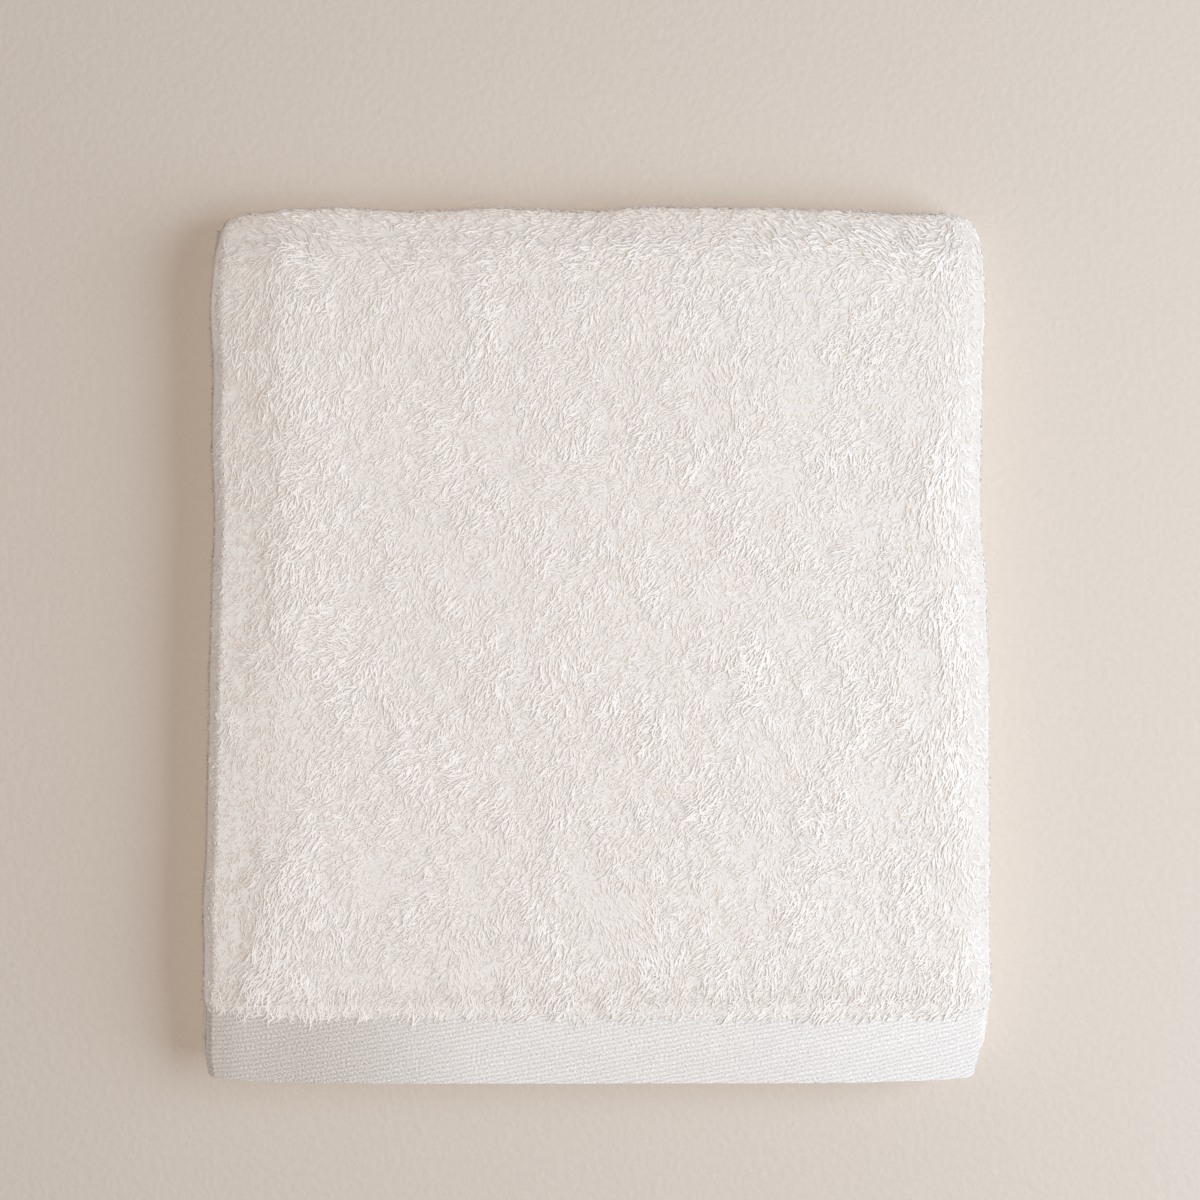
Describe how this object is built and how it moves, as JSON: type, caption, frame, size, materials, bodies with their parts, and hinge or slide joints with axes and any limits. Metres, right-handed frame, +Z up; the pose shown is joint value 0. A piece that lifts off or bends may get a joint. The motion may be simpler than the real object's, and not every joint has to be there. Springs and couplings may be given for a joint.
{
  "type": "folded face towel",
  "caption": "Plush terry face towel with a flat twill-woven border, its sides turned in and folded in three to a soft rectangular stack for a shelf.",
  "frame": {"origin": "under the middle of the folded towel, on the surface that it lies on", "axes": "+Z up through the layers; +Y from the woven border to the back fold; +X to the right when the border is nearest"},
  "size_m": [0.26, 0.2871, 0.031],
  "materials": {
    "terry_cotton": "warm white cotton: long, soft looped pile with a light sheen, and a flat, finely ribbed twill border"
  },
  "bodies": {
    "root": {"towel": "terry_cotton"}
  },
  "joints": []
}
